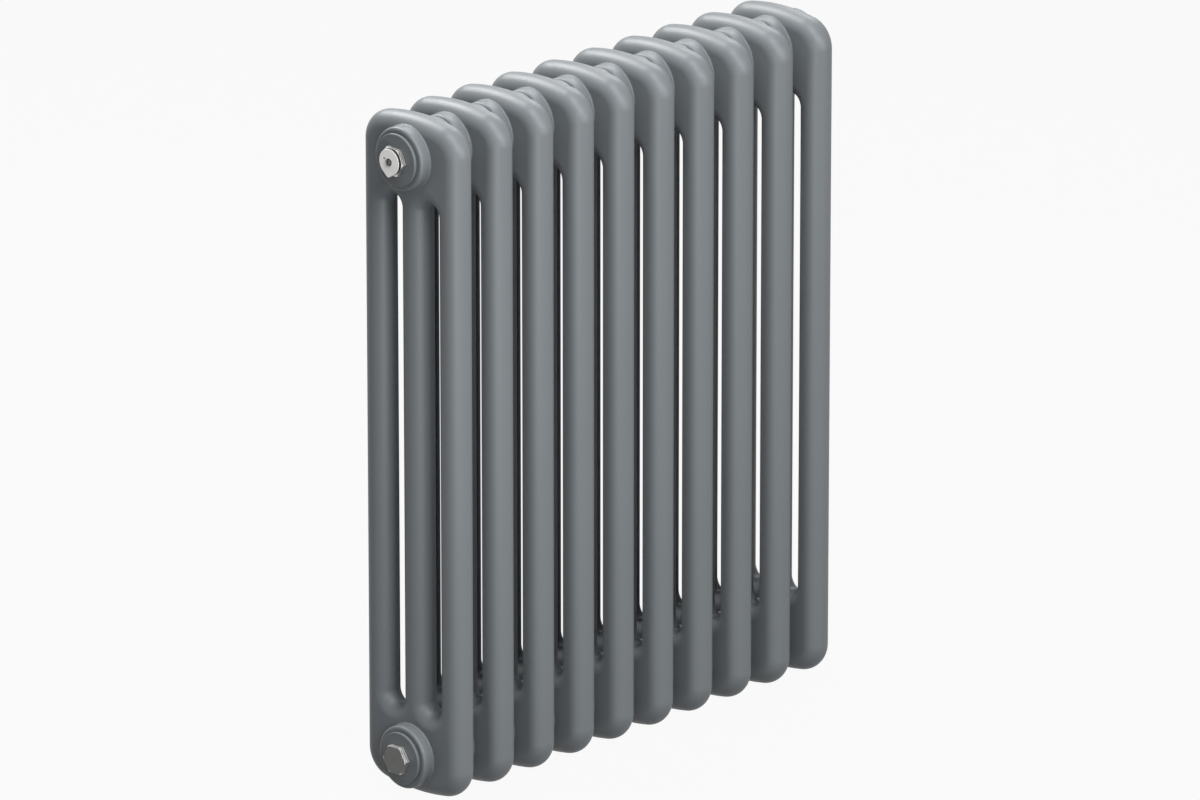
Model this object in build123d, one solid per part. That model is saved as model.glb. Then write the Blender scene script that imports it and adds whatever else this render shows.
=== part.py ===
from build123d import *

import math
import os

# Three-column tubular steel radiator: ten sections in a row along X, each a top and a bottom head
# joined by three upright tubes. The front looks along -Y and the fittings are at the -X end. The
# origin lies on the floor under the middle of the overall length. All lengths are millimetres.

# Row of sections
section_count = 10
section_pitch = 46.0
hub_spacing = 500.0
hub_inset = 33.0

# Upright tubes
column_names = ["front", "middle", "rear"]
column_spacing = 41.0
tube_diameter = 25.0
tube_wall = 1.5

# Heads: flat pressings as thick as the tubes, with a slightly arched crown and fully rounded rims
head_wall = 2.0
head_crown_radius = 180.0
head_corner_radius = 25.5
arch_drop = 37.0
spigot_length = 12.0
rim_flat = 0.05
water_chamfer = 7.5

# Hub collars, which meet those of the neighbouring heads
collar_radius = 26.0
collar_wall = 6.5
collar_edge_radius = 2.4
collar_root_radius = 1.2
thread_clearance = 0.1

# Hub nipples, and the gaskets that they squeeze between the collars
gasket_thickness = 1.0
gasket_recess = 0.4
gasket_bore_clearance = 0.5
nipple_reach = 10.5
nipple_wall = 3.0
nipple_lug_width = 5.0
nipple_lug_height = 2.5

# Reducing bushes in the four end hubs
bush_flange_step = 4.4
bush_flange_thickness = 2.2
bush_edge_radius = 0.8
bush_reach = 11.0
port_thread_radius = 9.3
port_mouth_chamfer = 0.8

# Hexagon fittings in the two bushes of the fittings end
hexagon_sides = 6
hexagon_flats = 22.0
hexagon_corner_chamfer = 0.7
hexagon_chamfer_angle = 30.0
hexagon_groove_count = 2
hexagon_groove_width = 0.6
hexagon_groove_depth = 0.7
fitting_reach = 9.0
seal_ring_thickness = 0.4
seal_ring_width = 0.9

# Blind plug
plug_hexagon_height = 5.2
plug_turn = 3.0
plug_hollow_radius = 6.5
plug_end_wall = 4.0
plug_dimple_radius = 1.6
plug_dimple_depth = 0.8

# Air vent body: a hexagon with a socket and a stub for the spout, and a seat for the screw's seal
vent_hexagon_height = 4.0
vent_turn = -4.0
socket_radius = 8.3
socket_depth = 2.8
stub_radius = 5.0
stub_height = 4.5
stub_groove_depth = 0.7
stub_groove_width = 1.0
stub_groove_drop = 0.8
outlet_radius = 0.45
seat_bore_radius = 1.2

# Bleed screw and the seal on its tip
screw_thread_radius = 2.4
screw_thread_length = 7.0
screw_running_clearance = 0.06
screw_air_flat = 0.5
screw_head_radius = 2.7
screw_head_height = 1.5
screw_slot_width = 0.9
screw_slot_depth = 1.0
screw_seal_radius = 1.9
screw_seal_thickness = 1.2

# Spout: a cap that turns on the stub, drawn out to a nozzle that points where the water should go
spout_radius = 10.8
spout_thickness = 2.2
spout_edge_radius = 0.4
spout_back_chamfer = 1.4
spout_running_clearance = 0.06
spout_end_clearance = 0.3
spout_socket_clearance = 0.3
spout_screw_clearance = 0.4
nozzle_reach = 12.8
nozzle_tip_radius = 2.2
nozzle_turn = -6.0
spout_mark_radius = 0.8
spout_mark_depth = 1.4
spout_mark_offset = 5.8
spout_mark_turn = -25.0

# Places across the head, with the hub axis as zero
column_count = len(column_names)
depth = (column_count - 1) * column_spacing + tube_diameter
column_places = [(column - (column_count - 1) / 2) * column_spacing for column in range(column_count)]
slot_places = [(left + right) / 2 for left, right in zip(column_places, column_places[1:])]
slot_radius = (column_spacing - tube_diameter) / 2
overall_height = hub_spacing + 2 * hub_inset
arch_level = -(arch_drop + slot_radius)
spigot_level = arch_level - spigot_length
hub_levels = {"bottom": hub_inset, "top": overall_height - hub_inset}
tube_foot = hub_levels["bottom"] - spigot_level
tube_length = overall_height - 2 * tube_foot

# Radii of the hub joints and of the bushes in the end hubs
hub_thread_radius = collar_radius - collar_wall
bush_flange_radius = collar_radius - bush_flange_step

# Places along an end hub, outwards from the middle of the end section
collar_reach = (section_pitch - gasket_thickness) / 2
flange_back = collar_reach + gasket_thickness
flange_face = flange_back + bush_flange_thickness
fitting_back = flange_face + seal_ring_thickness
plug_face = fitting_back + plug_hexagon_height
vent_face = fitting_back + vent_hexagon_height
socket_floor = vent_face - socket_depth
stub_end = socket_floor + stub_height
groove_level = stub_end - stub_groove_drop
seat_level = stub_end - screw_thread_length - screw_seal_thickness
screw_head_back = stub_end + spout_end_clearance
screw_end = screw_head_back + screw_head_height
spout_back = socket_floor + spout_end_clearance
spout_shoulder = vent_face + spout_end_clearance
spout_face = spout_shoulder + spout_thickness

# The row is set off its own middle, because only one end has fittings standing out of it
row_offset = (screw_end - flange_face) / 2
port_barrel_radius = port_thread_radius - thread_clearance


def section_x(index):
    return (index - (section_count - 1) / 2) * section_pitch + row_offset


def rod(radius, start, end):
    """Round bar on the X axis."""
    return Pos((start + end) / 2, 0, 0) * Rot(0, 90, 0) * Cylinder(radius, end - start)


def ring(outer_radius, inner_radius, start, end):
    """Plain ring round the X axis."""
    return rod(outer_radius, start, end) - rod(inner_radius, start, end)


def outer_rim(solid, level):
    """Widest round edge of a turned piece at one level along X."""
    circles = solid.edges().filter_by(GeomType.CIRCLE)
    at_level = circles.filter_by(lambda edge: abs(edge.center().X - level) < rim_flat)
    return at_level.sort_by(lambda edge: edge.radius)[-1]


def head_plate(inset, foot_level):
    """Square-edged plate of a head with its hub axis on X. An inset shrinks it all round."""
    crown = Pos(0, hub_inset - head_crown_radius) * Circle(head_crown_radius - inset)
    blank_top = hub_inset + tube_diameter
    blank = Pos(0, (blank_top + foot_level) / 2) * Rectangle(depth - 2 * inset, blank_top - foot_level)
    outline = blank & crown
    outline = fillet(outline.vertices().group_by(Axis.Y)[-1], head_corner_radius - inset)
    half_slot = slot_radius + inset
    for slot_y in slot_places:
        leg = Rectangle(2 * half_slot, arch_level - foot_level)
        outline -= Pos(slot_y, (arch_level + foot_level) / 2) * leg
        outline -= Pos(slot_y, arch_level) * Circle(half_slot)
    return extrude(Plane.YZ * outline, amount=tube_diameter / 2 - inset, both=True)


def plate_rims(plate, foot_level):
    """Edges round both sides of a plate, without those at its feet."""
    edges = plate.faces().filter_by(Axis.X).edges()
    return edges.filter_by(lambda edge: edge.center().Z > foot_level + rim_flat)


def make_water_space():
    """Hollow of a head, which runs on into the bores of its three tubes."""
    foot_level = spigot_level - spigot_length
    plate = head_plate(head_wall, foot_level)
    space = chamfer(plate_rims(plate, foot_level), water_chamfer)
    for tube_y in column_places:
        bore = Cylinder(tube_diameter / 2 - tube_wall, arch_level - foot_level)
        space += Pos(0, tube_y, (arch_level + foot_level) / 2) * bore
    return space


def is_collar_root(edge):
    """True for an edge where a collar rises out of the head."""
    points = [edge.position_at(share) for share in (0, 0.25, 0.5, 0.75, 1)]
    on_collar = all(abs(math.hypot(point.Y, point.Z) - collar_radius) < rim_flat for point in points)
    one_side = all(point.X > 0 for point in points) or all(point.X < 0 for point in points)
    below_edge = all(abs(point.X) < collar_reach - collar_edge_radius - rim_flat for point in points)
    return on_collar and one_side and below_edge


def make_head():
    """Hollow head with a bored collar on both sides, open at the tube spigots."""
    collars = rod(collar_radius, -collar_reach, collar_reach)
    collars = fillet(collars.edges().filter_by(GeomType.CIRCLE), collar_edge_radius)
    plate = head_plate(0, spigot_level)
    head = fillet(plate_rims(plate, spigot_level), tube_diameter / 2 - rim_flat) + collars
    head = fillet(head.edges().filter_by(is_collar_root), collar_root_radius)
    return head - make_water_space() - rod(hub_thread_radius, -collar_reach, collar_reach)


def make_tube():
    """Upright tube, from the spigots of the bottom head to those of the top head."""
    profile = Circle(tube_diameter / 2) - Circle(tube_diameter / 2 - tube_wall)
    return extrude(profile, amount=tube_length)


def make_nipple():
    """Hub nipple, threaded outside, with two lugs inside for the assembly key."""
    half_length = gasket_thickness / 2 + nipple_reach
    radius = hub_thread_radius - thread_clearance
    bore = radius - nipple_wall
    nipple = ring(radius, bore, -half_length, half_length)
    lug_foot = bore + nipple_wall / 2
    lug = Box(2 * half_length, nipple_lug_width, lug_foot - bore + nipple_lug_height)
    lug_level = (lug_foot + bore - nipple_lug_height) / 2
    return nipple + Pos(0, 0, lug_level) * lug + Pos(0, 0, -lug_level) * lug


def make_hub_gasket():
    """Flat gasket between two collars."""
    radius = collar_radius - collar_edge_radius - gasket_recess
    bore = hub_thread_radius + gasket_bore_clearance
    return ring(radius, bore, -gasket_thickness / 2, gasket_thickness / 2)


def make_bush():
    """Reducing bush with a round flange, screwed into an end hub."""
    barrel = rod(hub_thread_radius - thread_clearance, flange_back - bush_reach, flange_back)
    bush = barrel + rod(bush_flange_radius, flange_back, flange_face)
    bush = fillet(outer_rim(bush, flange_face), bush_edge_radius)
    bush -= rod(port_thread_radius, flange_back - bush_reach, flange_face)
    mouth = Cone(port_thread_radius, port_thread_radius + port_mouth_chamfer, port_mouth_chamfer)
    return bush - Pos(flange_face - port_mouth_chamfer / 2, 0, 0) * Rot(0, 90, 0) * mouth


def make_bush_gasket():
    """Flat gasket under the flange of a bush."""
    radius = bush_flange_radius - gasket_recess
    return ring(radius, hub_thread_radius + gasket_bore_clearance, collar_reach, flange_back)


def make_seal_ring():
    """Flat ring that seals a hexagon fitting against its bush."""
    bore = port_thread_radius + gasket_bore_clearance
    return ring(bore + seal_ring_width, bore, flange_face, fitting_back)


def make_hexagon(face_level, turn):
    """Hexagon of a fitting, with chamfered corners and turned grooves, and its threaded barrel."""
    height = face_level - fitting_back
    outline = RegularPolygon(hexagon_flats / 2, hexagon_sides, major_radius=False)
    hexagon = extrude(Rot(0, 0, 90) * outline, amount=height)
    corner_radius = hexagon_flats / 2 / math.cos(math.pi / hexagon_sides)
    chamfer_slope = math.tan(math.radians(hexagon_chamfer_angle))
    face_radius = corner_radius - hexagon_corner_chamfer / chamfer_slope
    cone = Pos(0, 0, height / 2) * Cone(face_radius + height / chamfer_slope, face_radius, height)
    hexagon = Pos(fitting_back, 0, 0) * Rot(turn, 0, 0) * Rot(0, 90, 0) * (hexagon & cone)
    groove_radius = hexagon_flats / 2 - hexagon_groove_depth
    land = (height - hexagon_groove_count * hexagon_groove_width) / (hexagon_groove_count + 1)
    for number in range(hexagon_groove_count):
        groove_start = fitting_back + land + number * (land + hexagon_groove_width)
        hexagon -= ring(2 * corner_radius, groove_radius, groove_start, groove_start + hexagon_groove_width)
    return hexagon + rod(port_barrel_radius, fitting_back - fitting_reach, fitting_back)


def make_plug():
    """Blind plug, hollow behind its end wall, with a turning centre in its face."""
    plug = make_hexagon(plug_face, plug_turn)
    plug -= rod(plug_hollow_radius, fitting_back - fitting_reach, plug_face - plug_end_wall)
    dimple = Cone(0, plug_dimple_radius, plug_dimple_depth)
    return plug - Pos(plug_face - plug_dimple_depth / 2, 0, 0) * Rot(0, 90, 0) * dimple


def make_vent_body():
    """Hexagon body of the air vent, bored for the screw and seated for its seal."""
    body = make_hexagon(vent_face, vent_turn)
    body -= ring(socket_radius, stub_radius, socket_floor, vent_face)
    body += rod(stub_radius, vent_face, stub_end)
    groove_start = groove_level - stub_groove_width / 2
    body -= ring(stub_radius, stub_radius - stub_groove_depth, groove_start, groove_start + stub_groove_width)
    body -= rod(seat_bore_radius, fitting_back - fitting_reach, seat_level)
    body -= rod(screw_thread_radius + screw_running_clearance, seat_level, stub_end)
    outlet = Pos(groove_level, 0, -stub_radius / 2) * Cylinder(outlet_radius, stub_radius)
    return body - outlet


def make_spout():
    """Teardrop cap with a nozzle, undercut behind. Its rib snaps into the groove of its stub."""
    cap = Circle(spout_radius).edges()
    tip = (Pos(0, nozzle_tip_radius - nozzle_reach) * Circle(nozzle_tip_radius)).edges()
    teardrop = extrude(Plane.YZ * make_hull(cap + tip), amount=spout_thickness, dir=(1, 0, 0))
    spout = Pos(spout_shoulder, 0, 0) * Rot(nozzle_turn, 0, 0) * teardrop
    face_edges = spout.faces().sort_by(Axis.X)[-1].edges()
    spout = fillet(face_edges, spout_edge_radius)
    spout = chamfer(spout.faces().sort_by(Axis.X)[0].edges(), spout_back_chamfer)
    spout += rod(socket_radius - spout_socket_clearance, spout_back, spout_shoulder)
    rib_half = stub_groove_width / 2 - spout_end_clearance
    bore = stub_radius + spout_running_clearance
    rib_bore = stub_radius - stub_groove_depth + spout_end_clearance
    spout -= rod(bore, spout_back, groove_level - rib_half)
    spout -= rod(rib_bore, groove_level - rib_half, groove_level + rib_half)
    spout -= rod(bore, groove_level + rib_half, screw_head_back)
    spout -= rod(screw_head_radius + spout_screw_clearance, screw_head_back, spout_face)
    passage = Pos(groove_level, 0, -nozzle_reach / 2) * Cylinder(outlet_radius, nozzle_reach)
    spout -= Rot(nozzle_turn, 0, 0) * passage
    mark = rod(spout_mark_radius, spout_face - spout_mark_depth, spout_face)
    return spout - Rot(spout_mark_turn, 0, 0) * Pos(0, -spout_mark_offset, 0) * mark


def make_bleed_screw():
    """Slotted screw with a flat along its thread that lets the air past."""
    thread = rod(screw_thread_radius, seat_level + screw_seal_thickness, screw_head_back)
    flat = Box(2 * screw_thread_length, 2 * screw_thread_radius, 2 * screw_air_flat)
    thread -= Pos(seat_level + screw_seal_thickness, 0, -screw_thread_radius) * flat
    screw = thread + rod(screw_head_radius, screw_head_back, screw_end)
    slot = Box(2 * screw_slot_depth, screw_slot_width, 2 * screw_head_radius)
    return screw - Pos(screw_end, 0, 0) * slot


def make_screw_seal():
    """Soft disc on the tip of the bleed screw, pressed on the seat of the vent body."""
    return rod(screw_seal_radius, seat_level, seat_level + screw_seal_thickness)


# An end fitting is made to stand out along +X. The fittings end looks the other way.
fittings_end = Pos(section_x(0), 0, 0) * Rot(0, 0, 180)
open_end = Pos(section_x(section_count - 1), 0, 0)
vent_place = Pos(0, 0, hub_levels["top"]) * fittings_end
plug_place = Pos(0, 0, hub_levels["bottom"]) * fittings_end
end_places = [Pos(0, 0, level) * end for level in hub_levels.values() for end in (fittings_end, open_end)]
joint_places = [
    Pos((section_x(index) + section_x(index + 1)) / 2, 0, level)
    for level in hub_levels.values()
    for index in range(section_count - 1)
]

nodes = {}
head = make_head()
tube = make_tube()
for index in range(section_count):
    section = f"section_{index + 1:02d}"
    x = section_x(index)
    nodes[f"{section}_bottom_head"] = Pos(x, 0, hub_levels["bottom"]) * Rot(180, 0, 0) * head
    for name, tube_y in zip(column_names, column_places):
        nodes[f"{section}_{name}_tube"] = Pos(x, tube_y, tube_foot) * tube
    nodes[f"{section}_top_head"] = Pos(x, 0, hub_levels["top"]) * head

nodes["hub_nipples"] = Compound([place * make_nipple() for place in joint_places])
nodes["hub_gaskets"] = Compound([place * make_hub_gasket() for place in joint_places])
nodes["end_bushes"] = Compound([place * make_bush() for place in end_places])
nodes["bush_gaskets"] = Compound([place * make_bush_gasket() for place in end_places])
nodes["fitting_seal_rings"] = Compound([place * make_seal_ring() for place in (plug_place, vent_place)])
nodes["blind_plug"] = plug_place * make_plug()
nodes["vent_body"] = vent_place * make_vent_body()
nodes["vent_spout"] = vent_place * make_spout()
nodes["bleed_screw"] = vent_place * make_bleed_screw()
nodes["bleed_screw_seal"] = vent_place * make_screw_seal()

os.makedirs("parts", exist_ok=True)
for name, solid in nodes.items():
    export_step(solid, f"parts/{name}.step")
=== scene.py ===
import math

import bmesh
import bpy
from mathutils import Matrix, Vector


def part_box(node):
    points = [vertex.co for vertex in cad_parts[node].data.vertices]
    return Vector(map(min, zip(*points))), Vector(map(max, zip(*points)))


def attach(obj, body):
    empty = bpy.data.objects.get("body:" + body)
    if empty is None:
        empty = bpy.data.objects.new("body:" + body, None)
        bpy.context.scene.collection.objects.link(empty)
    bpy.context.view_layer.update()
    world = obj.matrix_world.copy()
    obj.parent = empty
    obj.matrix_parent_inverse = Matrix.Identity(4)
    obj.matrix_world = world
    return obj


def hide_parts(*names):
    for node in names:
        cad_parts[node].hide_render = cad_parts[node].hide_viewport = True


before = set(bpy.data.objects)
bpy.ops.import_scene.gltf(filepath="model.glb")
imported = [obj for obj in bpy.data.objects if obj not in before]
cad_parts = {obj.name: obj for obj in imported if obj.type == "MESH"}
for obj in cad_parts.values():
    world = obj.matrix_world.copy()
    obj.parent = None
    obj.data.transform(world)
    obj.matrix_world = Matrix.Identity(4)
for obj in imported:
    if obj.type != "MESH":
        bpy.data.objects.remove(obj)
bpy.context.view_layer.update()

# Heads: the hollow steel pressings at both ends of each section, as thick as the tubes, with a collar
# on both sides for the hub joints. They are welded up, then powder coated in satin anthracite as one
# piece with their tubes.


class Amount:
    """What a node gives out. Where that is a number, Python's own arithmetic works on it."""

    def __init__(self, bench, socket):
        self.bench = bench
        self.socket = socket

    def worked(self, operation, first, second):
        return self.bench.add("ShaderNodeMath", {"operation": operation}, {0: first, 1: second})

    def __add__(self, other):
        return self.worked("ADD", self, other)

    __radd__ = __add__

    def __sub__(self, other):
        return self.worked("SUBTRACT", self, other)

    def __rsub__(self, other):
        return self.worked("SUBTRACT", other, self)

    def __mul__(self, other):
        return self.worked("MULTIPLY", self, other)

    __rmul__ = __mul__

    def __lt__(self, other):
        return self.worked("LESS_THAN", self, other)

    def sway(self, width):
        """Noise from 0 to 1 as a change of a value, half of the width up and half of it down."""
        return width * (self - 0.5)


class NodeBench:
    """Node tree of a material, of the world or of a shape, to which nodes are added."""

    def __init__(self, tree):
        self.tree = tree

    def add(self, kind, settings, inputs, output=0):
        """Adds a node: its settings first, then the values or links of its sockets."""
        node = self.tree.nodes.new(kind)
        for name, value in settings.items():
            setattr(node, name, value)
        self.feed(node, inputs)
        return Amount(self, node.outputs[output])

    def feed(self, node, inputs):
        """Links the sockets that take what another node gives out, and sets the others."""
        for name, value in inputs.items():
            if isinstance(value, Amount):
                self.tree.links.new(value.socket, node.inputs[name])
            else:
                node.inputs[name].default_value = value


class Finish(NodeBench):
    """Node material of one surface finish, read from Object coordinates."""

    # A mix node has sockets for each kind of data. These are the places of its share and its colours.
    mix_share = 0
    mix_dark = 6
    mix_light = 7
    mix_colour = 2

    def __init__(self, name):
        self.material = bpy.data.materials.new(name)
        self.material.use_nodes = True
        super().__init__(self.material.node_tree)
        self.shader = self.tree.nodes["Principled BSDF"]
        self.place = self.add("ShaderNodeTexCoord", {}, {}, "Object")

    def along(self, axis):
        """Place along one axis, in metres."""
        return self.add("ShaderNodeSeparateXYZ", {}, {"Vector": self.place}, axis)

    def speckle(self, scale, detail=2.0, stretch=(1, 1, 1)):
        """Soft noise from 0 to 1, with its scale per metre."""
        place = self.add("ShaderNodeMapping", {}, {"Vector": self.place, "Scale": stretch})
        return self.add("ShaderNodeTexNoise", {}, {"Vector": place, "Scale": scale, "Detail": detail})

    def shade_between(self, share, dark, light):
        """Colour between two shades, each given as red, green and blue or worked out already."""
        first, second = (shade if isinstance(shade, Amount) else (*shade, 1) for shade in (dark, light))
        sockets = {self.mix_share: share, self.mix_dark: first, self.mix_light: second}
        return self.add("ShaderNodeMix", {"data_type": "RGBA"}, sockets, self.mix_colour)

    def grain(self, height, depth):
        """Fine relief, with its depth in metres."""
        return self.add("ShaderNodeBump", {}, {"Height": height, "Distance": depth})

    def surface(self, **inputs):
        """Ends the material with the sockets of its shader, named with underscores for spaces."""
        self.feed(self.shader, {name.replace("_", " "): value for name, value in inputs.items()})
        return self.material


def powder_coat(name, dark, light, roughness):
    """Satin powder coat: slightly uneven in tone and gloss, with a fine orange-peel grain."""
    coat = Finish(name)
    cloud = coat.speckle(scale=9.0)
    peel = coat.speckle(scale=620.0)
    speck = coat.speckle(scale=2600.0, detail=1.0)
    cloud_share = 0.7
    speck_share = 1 - cloud_share
    return coat.surface(
        Base_Color=coat.shade_between(cloud_share * cloud + speck_share * speck, dark, light),
        Roughness=roughness + cloud.sway(width=0.07) + speck.sway(width=0.05),
        Normal=coat.grain(peel, depth=0.00004),
        Specular_IOR_Level=0.3,
    )


def put_in_scene(name, data):
    """New object in the scene, at the origin."""
    thing = bpy.data.objects.new(name, data)
    bpy.context.scene.collection.objects.link(thing)
    return thing


def shade_evenly(piece):
    """Weighs the normals by the size of the faces, so that flats look flat up to their rounded edges."""
    even = piece.modifiers.new("even shading", "WEIGHTED_NORMAL")
    even.keep_sharp = True


class Recipe(NodeBench):
    """Geometry Nodes tree whose named inputs are the sizes of a piece."""

    def __init__(self, name):
        super().__init__(bpy.data.node_groups.new(name, "GeometryNodeTree"))
        self.blank = self.size("Blank", "NodeSocketGeometry")
        self.tree.interface.new_socket("Piece", in_out="OUTPUT", socket_type="NodeSocketGeometry")

    def size(self, name, kind="NodeSocketFloat"):
        """Adds a named input to the tree."""
        self.tree.interface.new_socket(name, in_out="INPUT", socket_type=kind)
        return self.add("NodeGroupInput", {}, {}, name)

    def row(self, piece, count_name, step_name, start=(0, 0, 0)):
        """Repeats a piece along a line, with the count and the step as named inputs."""
        line = self.add(
            "GeometryNodeMeshLine",
            {"mode": "OFFSET"},
            {
                "Count": self.size(count_name, "NodeSocketInt"),
                "Start Location": start,
                "Offset": self.size(step_name, "NodeSocketVector"),
            },
        )
        return self.add("GeometryNodeInstanceOnPoints", {}, {"Points": line, "Instance": piece})

    def close(self, instances):
        """Ends the tree: real geometry instead of instances, in the piece's own material."""
        real = self.add("GeometryNodeRealizeInstances", {}, {"Geometry": instances})
        material = self.size("Material", "NodeSocketMaterial")
        dressed = self.add("GeometryNodeSetMaterial", {}, {"Geometry": real, "Material": material})
        self.feed(self.tree.nodes.new("NodeGroupOutput"), {"Piece": dressed})

    def make(self, name, blank, sizes):
        """Runs the tree on a blank mesh and gives the result back as a plain object."""
        carrier = put_in_scene(name, blank)
        modifier = carrier.modifiers.new("recipe", "NODES")
        modifier.node_group = self.tree
        identifiers = {item.name: item.identifier for item in self.tree.interface.items_tree}
        for size_name, value in sizes.items():
            modifier[identifiers[size_name]] = value
        shade_evenly(carrier)
        depsgraph = bpy.context.evaluated_depsgraph_get()
        plain = bpy.data.meshes.new_from_object(carrier.evaluated_get(depsgraph))
        carrier.modifiers.clear()
        carrier.data = plain
        return carrier


crease_angle = math.radians(28)
merge_distance = 1e-6


def smooth_copy(node):
    """Copy of a CAD node with its loose triangles merged, smooth but for the creases."""
    shape = bmesh.new()
    shape.from_mesh(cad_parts[node].data)
    bmesh.ops.remove_doubles(shape, verts=shape.verts, dist=merge_distance)
    for face in shape.faces:
        face.smooth = True
    for edge in shape.edges:
        edge.smooth = edge.calc_face_angle(0) < crease_angle
    mesh = bpy.data.meshes.new(node)
    shape.to_mesh(mesh)
    shape.free()
    return mesh


def place_piece(piece, body, slot, *nodes):
    """Sets a piece on its body, in place of its CAD nodes."""
    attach(piece, body)
    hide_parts(*nodes)


section_count = 10
first_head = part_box("section_01_top_head")
last_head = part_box(f"section_{section_count:02d}_top_head")
section_pitch = (last_head[0].x - first_head[0].x) / (section_count - 1)
radiator_paint = powder_coat(
    "radiator_paint", dark=(0.090, 0.099, 0.105), light=(0.100, 0.110, 0.117), roughness=0.46
)

head_row = Recipe("row of heads")
head_row.close(head_row.row(head_row.blank, "Sections", "Step"))
# All ten heads of an end would make one very heavy mesh, so each end has two pieces.
pieces_per_end = 2
heads_per_piece = section_count // pieces_per_end
for end in ("bottom", "top"):
    for first in range(1, section_count + 1, heads_per_piece):
        last = first + heads_per_piece - 1
        head_nodes = [f"section_{number:02d}_{end}_head" for number in range(first, last + 1)]
        heads = head_row.make(
            f"{end}_heads_{first}_to_{last}",
            smooth_copy(head_nodes[0]),
            {"Sections": heads_per_piece, "Step": (section_pitch, 0, 0), "Material": radiator_paint},
        )
        place_piece(heads, "radiator", "radiator_paint", *head_nodes)

# Tubes: three welded steel tubes in each section, butted to the spigots of its two heads and ground
# flush, so that under the coat no seam shows.

tube_low, tube_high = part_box("section_01_front_tube")
rear_tube_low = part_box("section_01_rear_tube")[0]
tube_radius = (tube_high.x - tube_low.x) / 2
tube_wall = 0.0015
tube_sides = 64
column_names = ["front", "middle", "rear"]
column_spacing = (rear_tube_low.y - tube_low.y) / (len(column_names) - 1)

tube_bank = Recipe("bank of tubes")
tube_path = tube_bank.add(
    "GeometryNodeCurvePrimitiveCircle",
    {},
    {"Resolution": tube_sides, "Radius": tube_bank.size("Middle radius")},
)
wall_profile = tube_bank.add(
    "GeometryNodeCurvePrimitiveQuadrilateral",
    {},
    {"Width": tube_bank.size("Wall"), "Height": tube_bank.size("Length")},
)
swept_tube = tube_bank.add(
    "GeometryNodeCurveToMesh", {}, {"Curve": tube_path, "Profile Curve": wall_profile}
)
edge_angle = tube_bank.add("GeometryNodeInputMeshEdgeAngle", {}, {})
is_corner = tube_bank.add(
    "FunctionNodeCompare", {"operation": "GREATER_THAN"}, {"A": edge_angle, "B": crease_angle}
)
one_tube = tube_bank.add(
    "GeometryNodeSetShadeSmooth",
    {"domain": "EDGE"},
    {"Geometry": swept_tube, "Selection": is_corner, "Shade Smooth": False},
)
first_tube_place = tube_bank.size("First", "NodeSocketVector")
tube_row = tube_bank.row(one_tube, "Sections", "Step", first_tube_place)
tube_bank.close(tube_bank.row(tube_row, "Columns", "Column step"))
tubes = tube_bank.make(
    "tubes",
    bpy.data.meshes.new("tubes"),
    {
        "Middle radius": tube_radius - tube_wall / 2,
        "Wall": tube_wall,
        "Length": tube_high.z - tube_low.z,
        "Sections": section_count,
        "First": (tube_low + tube_high) / 2,
        "Step": (section_pitch, 0, 0),
        "Columns": len(column_names),
        "Column step": (0, column_spacing, 0),
        "Material": radiator_paint,
    },
)
tube_nodes = [
    f"section_{number:02d}_{column}_tube"
    for number in range(1, section_count + 1)
    for column in column_names
]
place_piece(tubes, "radiator", "radiator_paint", *tube_nodes)

# Hub joints: turned steel nipples, threaded left and right, that pull the collars of neighbouring
# heads together on sheet gaskets. Only the dark edge of a gasket shows between two collars.


def dress(node, material):
    """Gives a CAD node that stays in view a finish of its own."""
    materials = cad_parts[node].data.materials
    materials.clear()
    materials.append(material)


def rubber(name, dark, light):
    """Matt black sealing material with a dusty bloom."""
    skin = Finish(name)
    bloom = skin.speckle(scale=160.0, detail=3.0)
    matt = 0.75
    return skin.surface(
        Base_Color=skin.shade_between(bloom, dark, light),
        Roughness=matt + bloom.sway(width=0.2),
        Normal=skin.grain(skin.speckle(scale=2400.0), depth=0.00003),
    )


turned_lay = (6, 1, 1)
# Dark nickel colour, painted into grooves and onto faces as their shade.
painted_groove_shade = (0.115, 0.115, 0.113)


def metal(name, dark, light, roughness, painted_shade_part=None):
    """Turned metal with fine tool marks. An optional mask function gives one where a dark shade is
    painted on.
    """
    skin = Finish(name)
    marks = skin.speckle(scale=900.0, detail=3.0, stretch=turned_lay)
    tarnish = skin.speckle(scale=70.0, detail=3.0)
    shade = skin.shade_between(tarnish, dark, light)
    # Where the mask gives one, a dark shade is painted over the metal's colour.
    if painted_shade_part:
        shade = skin.shade_between(painted_shade_part(skin), shade, painted_groove_shade)
    return skin.surface(
        Base_Color=shade,
        Metallic=1.0,
        Roughness=roughness + marks.sway(width=0.12) + tarnish.sway(width=0.08),
        Normal=skin.grain(marks, depth=0.00001),
    )


nipple_steel = metal("nipple_steel", dark=(0.36, 0.36, 0.35), light=(0.46, 0.46, 0.45), roughness=0.4)
dress("hub_nipples", nipple_steel)
gasket_rubber = rubber("gasket_rubber", dark=(0.02, 0.02, 0.021), light=(0.035, 0.035, 0.036))
dress("hub_gaskets", gasket_rubber)

# End bushes: turned steel rings screwed into the four end hubs on gaskets, which bring the hub
# thread down to the size of the fittings. Their flanges are coated like the radiator, a little darker as
# painted shade.

bush_paint = powder_coat(
    "bush_paint", dark=(0.076, 0.084, 0.089), light=(0.086, 0.095, 0.101), roughness=0.44
)


def keep_shape(name, node, material):
    """Piece from a merged copy of a CAD node, in its own material."""
    mesh = smooth_copy(node)
    mesh.materials.append(material)
    piece = put_in_scene(name, mesh)
    shade_evenly(piece)
    return piece


bushes = keep_shape("bushes", "end_bushes", bush_paint)
place_piece(bushes, "radiator", "bush_paint", "end_bushes")
dress("bush_gaskets", gasket_rubber)

# Blind plug: a forged hexagon plug, screwed into the bottom bush of the fittings end on a thin rubber
# ring. Its flats are machined bright, and a dark shade is painted onto its face and into its grooves.

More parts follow.
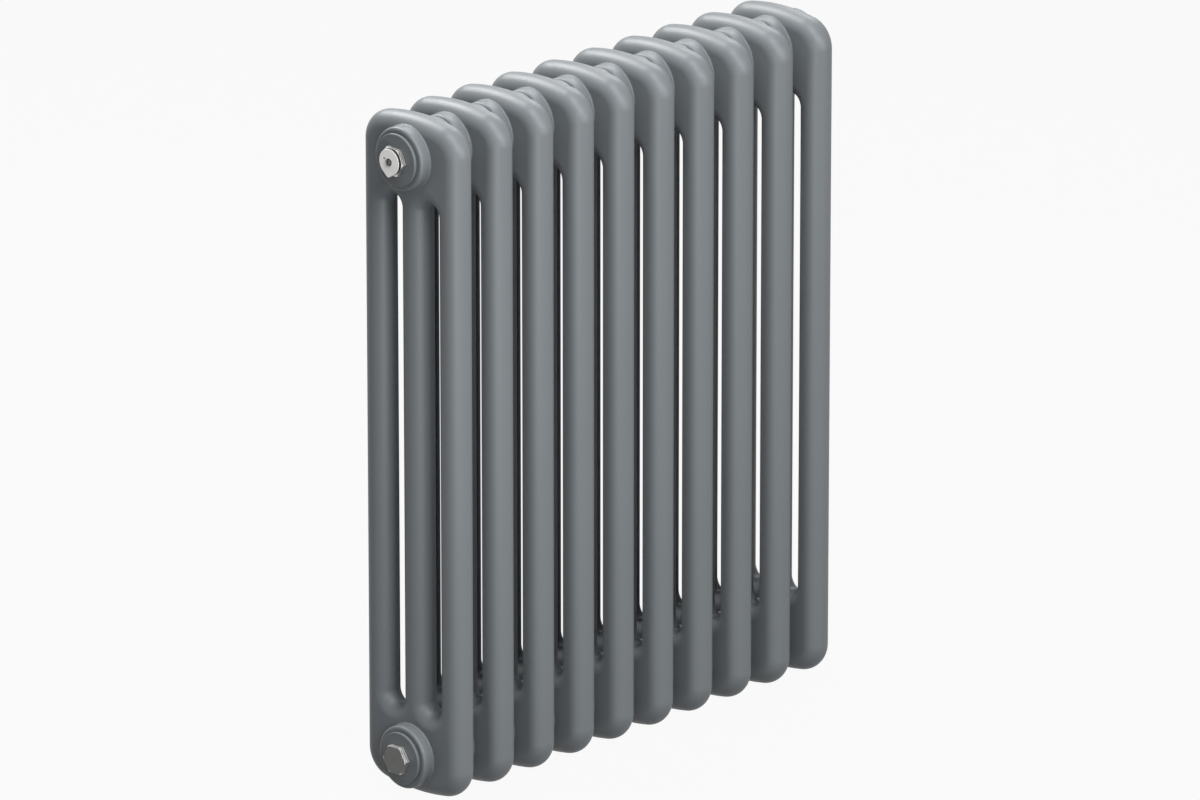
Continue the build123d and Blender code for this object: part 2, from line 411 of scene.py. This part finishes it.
seal_rubber = rubber("seal_rubber", dark=(0.03, 0.03, 0.031), light=(0.045, 0.045, 0.046))
dress("fitting_seal_rings", seal_rubber)
nickel_dark = (0.56, 0.556, 0.546)
nickel_light = (0.68, 0.676, 0.666)
nickel_roughness = 0.42
radius_under_flats = 0.01085
face_depth = 0.0003


def in_grooves(skin, node):
    """One where a hexagon fitting is turned down below its flats, else nought."""
    low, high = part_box(node)
    across = skin.along("Y")
    up = skin.along("Z") - (low.z + high.z) / 2
    return across * across + up * up < radius_under_flats * radius_under_flats


def plug_shade_painting(skin):
    """One in the grooves and on the face of the plug, where shade is painted, else nought."""
    face_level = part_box("blind_plug")[0].x + face_depth
    return in_grooves(skin, "blind_plug") + (skin.along("X") < face_level)


plug_nickel = metal("plug_nickel", nickel_dark, nickel_light, nickel_roughness, plug_shade_painting)
plug = keep_shape("plug", "blind_plug", plug_nickel)
place_piece(plug, "radiator", "plug_nickel", "blind_plug")

# Air vent body: the same hexagon in brass under bright nickel, with the seat for the bleed screw
# inside and a stub in front that carries the spout.


def vent_shade_painting(skin):
    """One in the grooves of the vent and on its face round the stub, where shade is painted, else
    nought.
    """
    return in_grooves(skin, "vent_body")


# A dark shade is painted into the vent's grooves and onto its face round the spout.
vent_nickel = metal("vent_nickel", nickel_dark, nickel_light, nickel_roughness, vent_shade_painting)
vent = keep_shape("vent", "vent_body", vent_nickel)
place_piece(vent, "radiator", "vent_nickel", "vent_body")

# Spout: an off-white moulded cap, snapped over the vent's stub, with a dark shade painted on all of it
# behind a thin front layer. It can be turned by hand to point its nozzle at a cup.


def moulded(name, dark, light, painted_flank_shade, painted_shade_start):
    """Plastic with a faint flow pattern and a fine spark-eroded grain, with a dark shade painted behind
    its front face.
    """
    skin = Finish(name)
    flow = skin.speckle(scale=110.0)
    in_front = skin.along("X") < painted_shade_start
    satin = 0.42
    return skin.surface(
        Base_Color=skin.shade_between(in_front, painted_flank_shade, skin.shade_between(flow, dark, light)),
        Roughness=satin + flow.sway(width=0.12),
        Normal=skin.grain(skin.speckle(scale=3000.0), depth=0.00001),
    )


unshaded_front_depth = 0.0002
spout_plastic = moulded(
    "spout_plastic",
    dark=(0.60, 0.60, 0.59),
    light=(0.68, 0.68, 0.67),
    # Behind a thin layer at the front, a dark shade is painted over the cap's flank.
    painted_flank_shade=(0.1, 0.1, 0.1),
    painted_shade_start=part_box("vent_spout")[0].x + unshaded_front_depth,
)
spout = keep_shape("spout", "vent_spout", spout_plastic)
place_piece(spout, "spout", "spout_plastic", "vent_spout")

# Bleed screw: a plated steel screw with a screwdriver slot and a soft seal on its tip, which lets
# the air past when it is turned out. Its steel is painted very dark, as the shade in its slot.

screw_steel = metal("screw_steel", dark=(0.10, 0.10, 0.098), light=(0.15, 0.15, 0.147), roughness=0.35)
screw = keep_shape("screw", "bleed_screw", screw_steel)
place_piece(screw, "screw", "screw_steel", "bleed_screw")
dress("bleed_screw_seal", seal_rubber)

# Studio: a pale floor that runs out of the picture, a white room round it, soft boxes on all sides
# and a strip lamp low down at the near corner. The camera stands far off with a long lens and looks
# down on the radiator.


def seen(bench):
    """One for the rays that the eye, metal and glass see a background with, else nought."""
    rays = ("Is Camera Ray", "Is Glossy Ray", "Is Transmission Ray")
    return sum(bench.add("ShaderNodeLightPath", {}, {}, ray) for ray in rays)


white = (1, 1, 1, 1)
paper_shade = (0.08, 0.08, 0.08, 1)
glow_share = 0.94
floor_half = 12.0
floor_signs = [(-1, -1), (1, -1), (1, 1), (-1, 1)]
floor_corners = [(across * floor_half, along * floor_half, 0) for across, along in floor_signs]
floor_mesh = bpy.data.meshes.new("floor")
floor_mesh.from_pydata(floor_corners, [], [range(len(floor_corners))])
floor = put_in_scene("floor", floor_mesh)
floor_finish = Finish("floor_paper")
floor_finish.surface(Base_Color=paper_shade, Roughness=0.9)
paper = Amount(floor_finish, floor_finish.shader.outputs["BSDF"])
glow = floor_finish.add("ShaderNodeEmission", {}, {"Color": white, "Strength": 1.0})
glow_seen = seen(floor_finish) * glow_share
glowing_paper = floor_finish.add("ShaderNodeMixShader", {}, {0: glow_seen, 1: paper, 2: glow})
floor_finish.feed(floor_finish.tree.nodes["Material Output"], {"Surface": glowing_paper})
floor_mesh.materials.append(floor_finish.material)

world = bpy.data.worlds.new("studio")
bpy.context.scene.world = world
world.use_nodes = True
room_light = 0.03
room_white = 0.95
room = NodeBench(world.node_tree)
room_strength = room_light + seen(room) * (room_white - room_light)
room.feed(world.node_tree.nodes["Background"], {"Color": white, "Strength": room_strength})


def direction(azimuth, height):
    """Direction from the radiator: azimuth in degrees from the front towards +X, height in degrees."""
    turn = math.radians(azimuth)
    rise = math.radians(height)
    return Vector((math.sin(turn) * math.cos(rise), -math.cos(turn) * math.cos(rise), math.sin(rise)))


def stand(thing, place, aim):
    """Stands a lamp or the camera at a place and points it at its aim."""
    thing.location = place
    thing.rotation_euler = (aim - place).to_track_quat("-Z", "Y").to_euler()


def soft_box(name, azimuth, height, power, distance=2.2, aim_height=0.35, across=0.9, up=0.9):
    """Rectangular lamp pointed at the radiator, with its sizes in metres and its power in watts."""
    lamp = bpy.data.lights.new(name, "AREA")
    lamp.shape = "RECTANGLE"
    lamp.size = across
    lamp.size_y = up
    lamp.energy = power
    aim = Vector((0, 0, aim_height))
    stand(put_in_scene(name, lamp), aim + direction(azimuth, height) * distance, aim)


soft_box("front box", azimuth=8, height=18, power=28)
soft_box("side box", azimuth=-20, height=35, power=38)
soft_box(
    "low strip", azimuth=-46, height=-8.5, power=4.0, distance=1.0, aim_height=0.4, across=0.5, up=0.2
)
soft_box("top box", azimuth=-46, height=66, power=38, distance=2.0)
soft_box("rear box", azimuth=180, height=50, power=70)
soft_box("far box", azimuth=118, height=42, power=18)

camera_azimuth = -45.876
camera_height = 18.561
camera_distance = 9.0937
camera_aim = Vector((0.0021, 0.0001, 0.2792))
row_middle = Vector((0.00395, 0, 0.283))
focal_length = 338.88
sight_range = 60
lens = bpy.data.cameras.new("camera")
lens.lens = focal_length
lens.clip_end = sight_range
camera = put_in_scene("camera", lens)
camera_place = row_middle + direction(camera_azimuth, camera_height) * camera_distance
stand(camera, camera_place, camera_aim)
bpy.context.scene.camera = camera
bpy.context.scene.view_settings.view_transform = "Standard"
